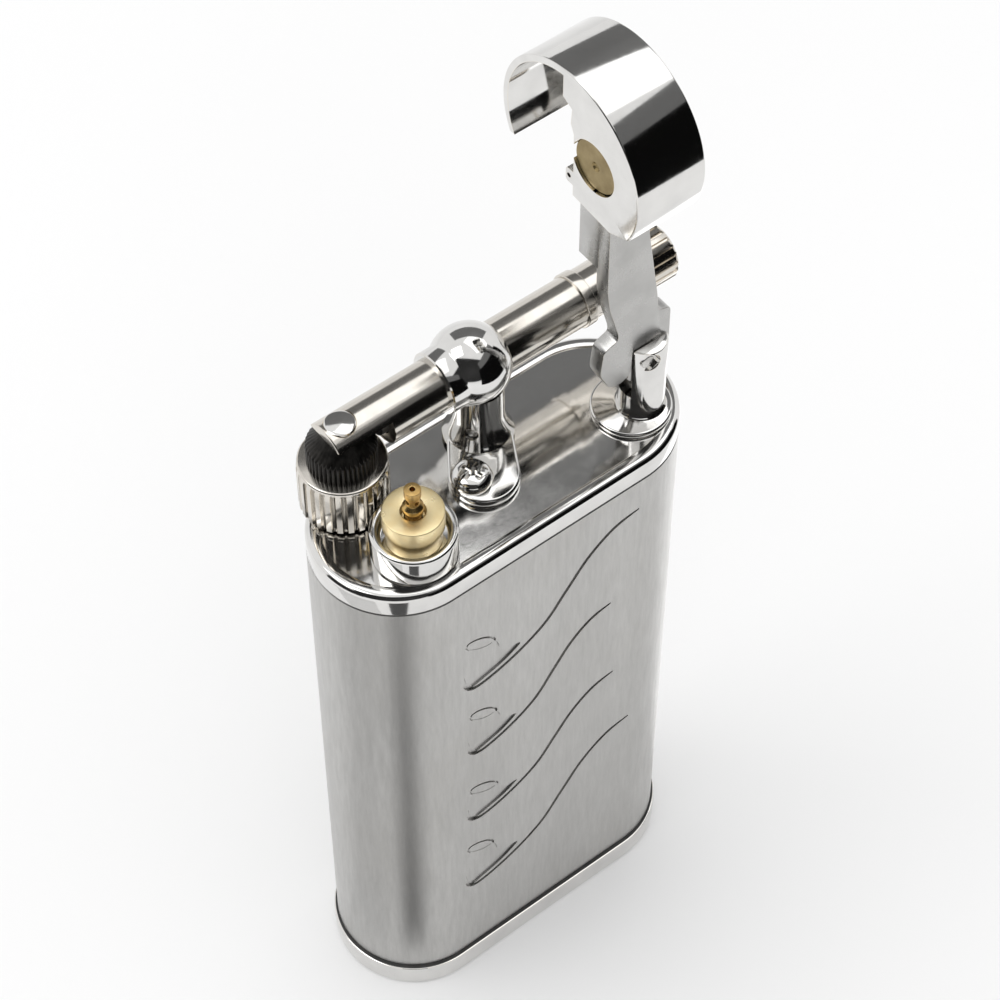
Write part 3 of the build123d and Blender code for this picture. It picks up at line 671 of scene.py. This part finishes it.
# ---------------------------------------------------------------- spark wheel
def wheel():
    """Ribbed thumb ring, the dark file-cut wheel on it and the axle's flush head."""
    axis = (WHEEL.x, WHEEL.y, 0)
    low, high = box_mm("thumb_ring")
    r = (high.x - low.x) / 2
    bottom, top = low.z, high.z
    groove = 0.34
    levels = [(bottom, r - 0.55, 0), (bottom + 0.02, r - 0.42, 0), (bottom + 0.10, r - 0.12, 0.2)]
    levels += [(bottom + 0.3, r, groove), (top - 0.62, r, groove), (top - 0.45, r - 0.05, 0.2)]
    levels += [(top - 0.36, r - 0.08, 0), (top - 0.10, r - 0.06, 0)]
    levels += [(top - 0.02, r - 0.14, 0), (top, r - 0.24, 0)]
    bm = fluted(levels, 26, lambda t: max(0.0, math.cos(2 * math.pi * t)) ** 0.7, axis, per=16)
    make("ring", bm, "wheel", "thumb_ring", sharp=50)

    low, high = box_mm("spark_wheel")
    r = (high.x - low.x) / 2 + 0.001
    tooth, top = 0.16, high.z
    levels = [(low.z, r, tooth), (top - 1.35, r, tooth), (top - 1.2, r - 0.06, 0.10)]
    levels += [(top - 1.05, r - 0.2, 0), (top, r - 1.3, 0)]
    bm = fluted(levels, 44, lambda t: max(0.0, 1 - abs(t - 0.5) * 3.2), axis, per=8)
    make("wheel_cut", bm, "wheel", "spark_wheel", sharp=30)

    top = box_mm("wheel_axle")[1].z
    shaft_r, head_r, bottom = 0.74, 1.17, 58.7
    profile = [(0, bottom), (shaft_r, bottom), (shaft_r, top - 0.42), (head_r, top - 0.42)]
    profile += [(head_r, top - 0.12), (1.1, top - 0.07), (0.85, top - 0.045)]  # faintly domed head
    profile += [(0.55, top - 0.02), (0.25, top - 0.005), (0, top)]
    bm = lathe(profile, axis, steps=96)
    make("axle", bm, "case", "wheel_axle")


# ---------------------------------------------------------------- flint tube
def flint_tube():
    """Tube with its cut-away tongue, the thin collar and the knurled flint screw."""
    low, high = box_mm("flint_tube")
    r = (high.y - low.y) / 2
    end = rounded([(0, low.x), (r, low.x), (r, high.x), (0, high.x)], 0.12)
    bm = lathe(end, (0, TUBE.y, TUBE.z), "X", steps=192)
    cutters = [block((low.x - 1, low.y - 1, low.z - 1), (-7.5, high.y + 1, 67.15)),
               rod((WHEEL.x, WHEEL.y, 0), 1.21, 67.7, 70, steps=96),
               rod((0, TUBE.y, TUBE.z), 1.3, -8.2, -6.5, "X", 48)]
    make("tube", carve(bm, *cutters), "case", "flint_tube", sharp=30)

    low, high = box_mm("tube_collar")
    r_out = (high.y - low.y) / 2
    ring = rounded([(r - 0.1, low.x), (r_out, low.x), (r_out, high.x), (r - 0.1, high.x)], 0.09)
    make("collar", lathe(ring, (0, TUBE.y, TUBE.z), "X", steps=160), "case", "tube_collar")

    low, high = box_mm("flint_screw")
    r = (high.z - low.z) / 2
    knob = high.x - 3.0
    levels = [(knob - 0.6, 1.24, 0), (knob - 0.01, 1.25, 0), (knob, r - 0.3, 0), (knob + 0.12, r - 0.1, 0.1),
              (knob + 0.22, r, 0.24), (high.x - 0.42, r, 0.24), (high.x - 0.2, r - 0.1, 0.12),
              (high.x - 0.05, r - 0.3, 0), (high.x, r - 0.5, 0)]
    bm = fluted(levels, 22, lambda t: 1.0 if 0.3 < t < 0.7 else 0.0, (0, TUBE.y, TUBE.z), "X", per=10)
    bm = carve(bm, block((high.x - 0.6, low.y - 1, TUBE.z - 0.25), (high.x + 1, high.y + 1, TUBE.z + 0.25)))
    make("flint_knob", bm, "flint_knob", "flint_screw", sharp=35)


PILLAR = Vector((0.8, 3.1, 0))
PILLAR_R = 2.0
FOOT_TOP = DECK + 0.78


def ball():
    """Ball on the flint tube, with a small collar on its left."""
    low, high = box_mm("centre_ball")
    r = (high.z - low.z) / 2
    tube_r = 2.1
    collar_r = 2.55
    start = math.degrees(math.atan2(collar_r, -math.sqrt(r * r - collar_r ** 2)))
    end = math.degrees(math.atan2(tube_r, math.sqrt(r * r - tube_r ** 2)))
    sphere = [(r * math.sin(math.radians(a)), r * math.cos(math.radians(a)))
              for a in [start + (end - start) * i / 48 for i in range(49)]]
    left = low.x - BALL_CENTRE.x
    profile = [(tube_r - 0.06, left), (collar_r - 0.1, left), (collar_r, left + 0.1)]
    profile += sphere + [(tube_r - 0.06, sphere[-1][1])]
    make("ball", lathe(profile, BALL_CENTRE, "X", steps=192), "case", "centre_ball", sharp=40)


def pillar():
    """Column under the ball on its two-ended foot, with a set screw in its side."""
    big, small = Vector((-1.5, -0.6)), Vector((0.8, 3.0))
    hull = []
    along = (small - big).normalized()
    heading = math.atan2(along.y, along.x)
    for centre, radius, turn in ((small, 2.45, -90), (big, 2.7, 90)):
        for i in range(41):
            a = heading + math.radians(turn + 180 * i / 40)
            hull.append((centre.x + radius * math.cos(a), centre.y + radius * math.sin(a)))
    foot = plate(hull, DECK, FOOT_TOP, "Z", edge=0.2, steps=4)
    column_top = 64.6
    column = [(0, FOOT_TOP - 0.3), (2.75, FOOT_TOP - 0.3), (2.5, FOOT_TOP + 0.1), (2.28, FOOT_TOP + 0.6)]
    column += [(2.1, FOOT_TOP + 1.3), (PILLAR_R, FOOT_TOP + 2.1), (PILLAR_R, column_top), (0, column_top)]
    body = carve(lathe(column, PILLAR, steps=128), foot, operation="UNION")

    screw = middle("pillar_screw")
    seat = rod((screw.x, screw.y, 0), 1.6, FOOT_TOP - 0.1, 63)
    facing = Vector((-0.79, -0.61, 0))
    spot = PILLAR + facing * PILLAR_R + Vector((0, 0, 61.0))
    to_side = Matrix.Translation(spot) @ facing.to_track_quat("Z", "Y").to_matrix().to_4x4()
    hole = lathe([(0, -0.35), (0.55, -0.35), (0.55, 2), (0, 2)], (0, 0, 0), steps=48)
    bmesh.ops.transform(hole, matrix=to_side, verts=hole.verts)
    make("pillar_body", carve(body, seat, hole), "case", "pillar", sharp=35)

    pin = lathe(rounded([(0, -0.5), (0.47, -0.5), (0.47, -0.1), (0, -0.02)], 0.1), (0, 0, 0), steps=48)
    bmesh.ops.transform(pin, matrix=to_side, verts=pin.verts)
    make("pillar_pin", pin, "case", slot="screw_steel")


def foot_screw():
    """Domed cross-head screw in the pillar's foot."""
    screw = middle("pillar_screw")
    top = box_mm("pillar_screw")[1].z
    dome = [(0, FOOT_TOP - 0.3), (1.5, FOOT_TOP - 0.1), (1.5, FOOT_TOP + 0.25), (1.44, FOOT_TOP + 0.45),
            (1.25, top - 0.2), (0.9, top - 0.06), (0.4, top), (0, top)]
    bm = lathe(dome, (screw.x, screw.y, 0), steps=96)
    arms = []
    for turn in (20, 110):
        bar = block((-0.85, -0.16, 0), (0.85, 0.16, 3))
        bed = Matrix.Translation((screw.x, screw.y, top - 0.42))
        bmesh.ops.transform(bar, matrix=bed @ Matrix.Rotation(math.radians(turn), 4, "Z"), verts=bar.verts)
        arms.append(bar)
    make("cross_screw", carve(bm, *arms), "case", "pillar_screw", slot="polished_nickel", sharp=30)


# ---------------------------------------------------------------- hinge post
HINGE = Vector((11.3, -2.4, 65.9))
POST_R = 1.8
POST_SLOT = (61.6, 1.45)  # bottom and width
FLANGE = (11.5, -2.0, 0)
FLANGE_R = 3.15


def hinge_post():
    """Slotted post on its round flange, and the pin that carries the arm."""
    top = box_mm("hinge_post")[1].z
    foot = DECK + 0.5
    flange = rounded([(0, DECK), (FLANGE_R, DECK), (FLANGE_R, foot), (0, foot)], 0.2)
    flange = lathe(flange, FLANGE, steps=160)
    profile = [(0, foot - 0.2), (2.1, foot), (1.93, foot + 0.06), (1.83, foot + 0.2), (POST_R, foot + 0.4)]
    profile += [(POST_R, top - 0.2), (1.74, top - 0.06), (1.62, top), (0, top)]
    post = lathe(profile, (POST.x, POST.y, 0), steps=160)
    post = carve(post, flange, operation="UNION")
    bottom, width = POST_SLOT
    slot = block((POST.x - 4, POST.y - width / 2, bottom), (POST.x + 4, POST.y + width / 2, 70))
    sink = rod((HINGE.x, 0, HINGE.z), 0.88, 3.82, 8, "Y", 64)
    post = carve(post, slot, sink)
    make("post", post, "case", "hinge_post", sharp=32)
    head = rounded([(0, 0.8), (0.58, 0.8), (0.58, 3.78), (0.52, 3.86), (0, 3.9)], 0.05)
    pin = lathe(head, (HINGE.x, 0, HINGE.z), "Y", steps=64)
    make("pin", pin, "case", "hinge_pin")


# ---------------------------------------------------------------- arm and snuffer cap
ARM_Y = -2.4
ARM_T = 1.3


def snuffer_arm():
    """Flat arm with its round lug and cam nose, and the small fold that enters the cap."""
    top = box_mm("snuffer_arm")[1].z
    lug = arc((11.85, 65.05), 2.1, -150, 0, 20)
    right = [(13.93, 69.6), (12.75, 69.95), (12.5, 72.2), (11.43, 79.2), (11.4, top)]
    left = [(7.7, top), (7.75, 75.4), (8.0, 73.4), (8.9, 70.1), (9.0, 69.3)]
    nose = [(7.65, 68.8), (7.38, 66.4), (8.3, 64.3), (9.3, 63.95), (10.2, 64.4)]
    outline = lug + right + left + nose
    front, back = ARM_Y - ARM_T / 2, ARM_Y + ARM_T / 2
    bm = plate(soften(outline, 0.45), front, back, "Y", edge=0.1, steps=3)
    fold = soften([(7.7, 77.0), (8.3, 77.0), (8.3, 82.7), (7.7, 82.7)], 0.1)
    flange = plate(fold, back - 0.2, back + 2.0, "Y", edge=0.08, steps=2)
    bm = carve(bm, flange, operation="UNION")
    bm = carve(bm, rod((HINGE.x, 0, HINGE.z), 0.62, 0, 6, "Y", 48))
    make("arm_plate", bm, "arm", "snuffer_arm", sharp=30)


def snuffer_cap():
    """C-shaped cap, solid at the front and hollow behind, with the brass pad in its face."""
    near, far = DRUM_LOW.x, DRUM_HIGH.x
    r = (DRUM_HIGH.y - DRUM_LOW.y) / 2
    centre = Vector((0, (DRUM_LOW.y + DRUM_HIGH.y) / 2, DRUM_HIGH.z - r))

    def on_face(*points):
        return [(centre.y + y, centre.z + z) for y, z in points]

    shell = rounded([(0, near), (r, near), (r, far), (0, far)], 0.14, 5)
    bm = lathe(shell, centre, "X", steps=224)
    underside = on_face(
        (-9, -9), (-9, -3.0), (-6.6, -3.3), (-4.5, -4.2), (-0.3, -3.8), (-0.3, -3.2), (9, -3.2), (9, -9)
    )
    under = plate(underside, near - 1, far + 1, "X", edge=0)
    inner = r - 0.55
    side = on_face((-0.5, -9), (-0.5, 0.4), (-0.45, 2.1), (-0.1, 2.9), (-0.2, 4.3), (0.8, 4.8))
    start = math.degrees(math.acos(0.8 / inner))
    rim = [(centre.y + inner * math.cos(math.radians(a)), centre.z + inner * math.sin(math.radians(a)))
           for a in [start + (-60 - start) * i / 60 for i in range(61)]]
    hollow = plate(side + rim + on_face((4.0, -9)), near - 1, far - 0.6, "X", edge=0)
    pad = middle("seal_pad")
    seat = rod((0, pad.y, pad.z), 2.21, near - 1, near + 1.9, "X", 96)
    tab = soften(on_face((-0.8, -2.85), (0.3, -2.85), (0.3, -1.55), (-0.8, -1.55)), 0.3)
    lug = plate(tab, near, near + 1.1, "X", edge=0)
    eye = rod((0, centre.y - 0.05, centre.z - 2.2), 0.2, near - 1, near + 0.7, "X", 24)
    bm = carve(bm, under, hollow, seat)
    bm = carve(bm, lug, operation="UNION")
    bm = carve(bm, eye)
    make("cap_drum", bm, "arm", "snuffer_drum", sharp=30)

    face = near + 0.2
    pad_r, back = 2.15, face + 1.1
    profile = [(0, back), (pad_r, back), (pad_r, face + 0.08), (2.07, face), (1.2, face + 0.02)]
    profile += [(0.5, face + 0.01), (0.4, face + 0.02), (0.28, face + 0.16), (0, face + 0.2)]
    make("pad_face", lathe(profile[::-1], (0, pad.y, pad.z), "X", steps=128), "arm", "seal_pad")


body_sleeve()
top_cap()
base_cap()
painted_shade_seam()
burner()
wheel()
flint_tube()
ball()
pillar()
foot_screw()
hinge_post()
snuffer_arm()
snuffer_cap()


# ---------------------------------------------------------------- floor, light and camera
def emitter(name, size, location, target, power):
    """Rectangular soft light aimed at a point; sizes and places in metres."""
    light = bpy.data.lights.new(name, "AREA")
    light.shape = "RECTANGLE"
    light.size, light.size_y = size
    light.energy = power
    lamp = bpy.data.objects.new(name, light)
    bpy.context.scene.collection.objects.link(lamp)
    lamp.location = location
    lamp.rotation_euler = (Vector(target) - Vector(location)).to_track_quat("-Z", "Y").to_euler()


def stage_material(name, grey):
    """Matte studio paper with a faint mottle."""
    n = Nodes(name)
    cloud = n.noise(6, 3)
    mottle = n.ramp(cloud, [(0.3, 0.0), (0.7, 1.0)])
    n.link(n.mix(mottle, (grey,) * 3, (grey * 0.985,) * 3), n.shader.inputs["Base Color"])
    n.set(Roughness=0.9, Specular_IOR_Level=0.0)
    return n.material


def card(name, width, height, centre, target, radiance):
    """Flat card that only the polished metal reflects, as a dark or light band."""
    bm = bmesh.new()
    bmesh.ops.create_grid(bm, x_segments=1, y_segments=1, size=0.5)
    bmesh.ops.scale(bm, vec=(width, height, 1), verts=bm.verts)
    thing = stage_card(name, bm, radiance)
    thing.location = centre
    thing.rotation_euler = (Vector(target) - Vector(centre)).to_track_quat("Z", "Y").to_euler()


def stage_card(name, bm, radiance):
    """Object for a card's mesh: seen only in reflections, casting no shadow."""
    mesh = bpy.data.meshes.new(name)
    bm.to_mesh(mesh)
    bm.free()
    thing = bpy.data.objects.new(name, mesh)
    bpy.context.scene.collection.objects.link(thing)
    n = Nodes(name)
    n.set(Roughness=1.0, Specular_IOR_Level=0.0, Emission_Strength=1.0)
    n.shader.inputs["Base Color"].default_value = (0, 0, 0, 1)
    n.shader.inputs["Emission Color"].default_value = (radiance,) * 3 + (1,)
    mesh.materials.append(n.material)
    thing.visible_camera = False
    thing.visible_diffuse = False
    thing.visible_shadow = False
    return thing


def floor_card(name, centre, azimuth, spread, reach, radiance):
    """Wedge lying on the floor round a body end, reflected only by the upright metal."""
    bm = bmesh.new()
    angles = [math.radians(azimuth + spread * k / 4) for k in range(-4, 5)]
    inner, outer = reach
    ring = [(math.cos(a) * inner, math.sin(a) * inner) for a in angles]
    ring += [(math.cos(a) * outer, math.sin(a) * outer) for a in reversed(angles)]
    bm.faces.new([bm.verts.new(((centre[0] + x) * MM, centre[1] * MM + y * MM, 0)) for x, y in ring])
    thing = stage_card(name, bm, radiance)
    thing.location.z = 0.4 * MM


BODY_MIDDLE = Vector((0.0, 0.0, 0.07))


def toward(azimuth, elevation, distance):
    """Point seen from BODY_MIDDLE at that azimuth (from +X towards +Y) and elevation in degrees."""
    a, e = math.radians(azimuth), math.radians(elevation)
    direction = Vector((math.cos(a) * math.cos(e), math.sin(a) * math.cos(e), math.sin(e)))
    return BODY_MIDDLE + distance * direction


def floor():
    """Pale sheet under the lighter."""
    bm = bmesh.new()
    bmesh.ops.create_grid(bm, x_segments=1, y_segments=1, size=3)
    mesh = bpy.data.meshes.new("floor")
    bm.to_mesh(mesh)
    bm.free()
    thing = bpy.data.objects.new("floor", mesh)
    bpy.context.scene.collection.objects.link(thing)
    mesh.materials.append(stage_material("floor", 0.95))


floor()
world = bpy.data.worlds.new("studio")
bpy.context.scene.world = world
world.use_nodes = True
world.node_tree.nodes["Background"].inputs["Color"].default_value = (1, 1, 1, 1)
world.node_tree.nodes["Background"].inputs["Strength"].default_value = 0.95

CENTRE = (0, 0, 0.05)
emitter("key", (0.30, 0.30), (-0.30, 0.15, 0.60), CENTRE, 0.55)
emitter("fill", (0.40, 0.30), (-0.30, -0.50, 0.35), CENTRE, 0.30)
card("softbox", 0.42, 0.36, (0.20, 0.04, 0.49), CENTRE, 1.7)
card("dark_front", 0.34, 0.19, (0.10, -0.145, 0.095), (0, 0, 0.09), 0.004)
card("grey_front", 0.36, 0.10, (0.115, -0.165, 0.25), (0, 0, 0.08), 0.16)
card("grey_back", 0.36, 0.20, toward(56, 36, 0.30), BODY_MIDDLE, 0.17)
card("dark_camera", 0.40, 0.34, toward(-132, 30, 0.27), BODY_MIDDLE, 0.03)
card("dark_left", 0.20, 0.20, toward(178, 12, 0.26), BODY_MIDDLE, 0.03)
END = BODY_W / 2 - BODY_D / 2
floor_card("floor_band", (-END, 0), -127, 11, (11, 75), 0.10)
floor_card("floor_left", (-END, 0), 183, 24, (10, 75), 0.75)
floor_card("floor_right", (END, 0), 22, 36, (9, 75), 1.5)

camera_data = bpy.data.cameras.new("camera")
camera = bpy.data.objects.new("camera", camera_data)
bpy.context.scene.collection.objects.link(camera)
CAMERA_AT = Vector((-0.0825, -0.10635, 0.2346))
CAMERA_LOOKS = Vector((0.011237, 0.013821, 0.030265))
camera.location = CAMERA_AT
camera.rotation_euler = (CAMERA_LOOKS - CAMERA_AT).to_track_quat("-Z", "Y").to_euler()
camera_data.lens = 106.6
camera_data.sensor_width = 36
camera_data.clip_start = 0.01
camera_data.clip_end = 10
bpy.context.scene.camera = camera
bpy.context.scene.view_settings.view_transform = "Standard"
